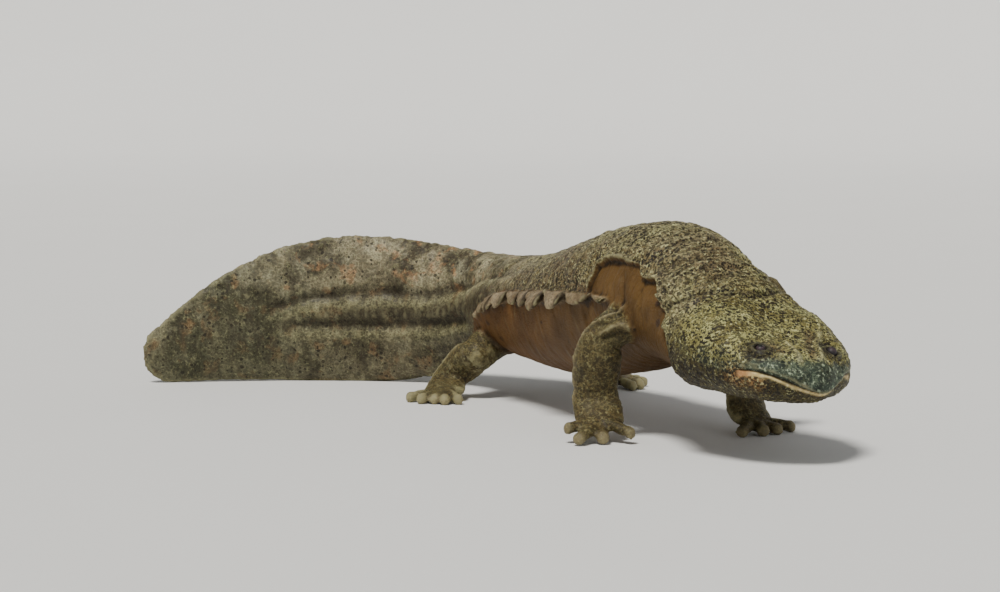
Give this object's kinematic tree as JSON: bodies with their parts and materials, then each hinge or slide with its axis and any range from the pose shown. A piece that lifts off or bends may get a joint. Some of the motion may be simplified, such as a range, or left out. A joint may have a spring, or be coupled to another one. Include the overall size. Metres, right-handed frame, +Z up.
{
  "type": "salamander",
  "caption": "Life-size giant salamander standing on four short legs, with a broad flat head, a plump trunk with a pleated fold of skin along each flank and a deep keeled tail bent to its right.",
  "frame": {"origin": "on the floor, under the middle of the whole animal's bounding box", "axes": "+Z up; the animal faces between +X and -Y, and its tail points to -X"},
  "size_m": [0.3587, 0.3354, 0.1031],
  "materials": {
    "back_skin": "moist bare skin, olive brown with fine black specks",
    "flank_skin": "moist bare skin, plain reddish brown",
    "eye": "wet and glossy, near black"
  },
  "bodies": {
    "root": {"head": "back_skin", "neck": "back_skin", "chest": "back_skin", "belly": "back_skin", "pelvis": "back_skin", "tail_base": "back_skin", "tail_middle": "back_skin", "tail_tip": "back_skin", "upper_arm_right": "back_skin", "forearm_right": "back_skin", "hand_right": "back_skin", "upper_arm_left": "back_skin", "forearm_left": "back_skin", "hand_left": "back_skin", "thigh_right": "back_skin", "shank_right": "back_skin", "foot_right": "back_skin", "thigh_left": "back_skin", "shank_left": "back_skin", "foot_left": "back_skin", "lower_jaw": "back_skin", "side_fold_right": "flank_skin", "side_fold_left": "flank_skin", "eye_right": "eye", "eye_left": "eye"}
  },
  "joints": []
}
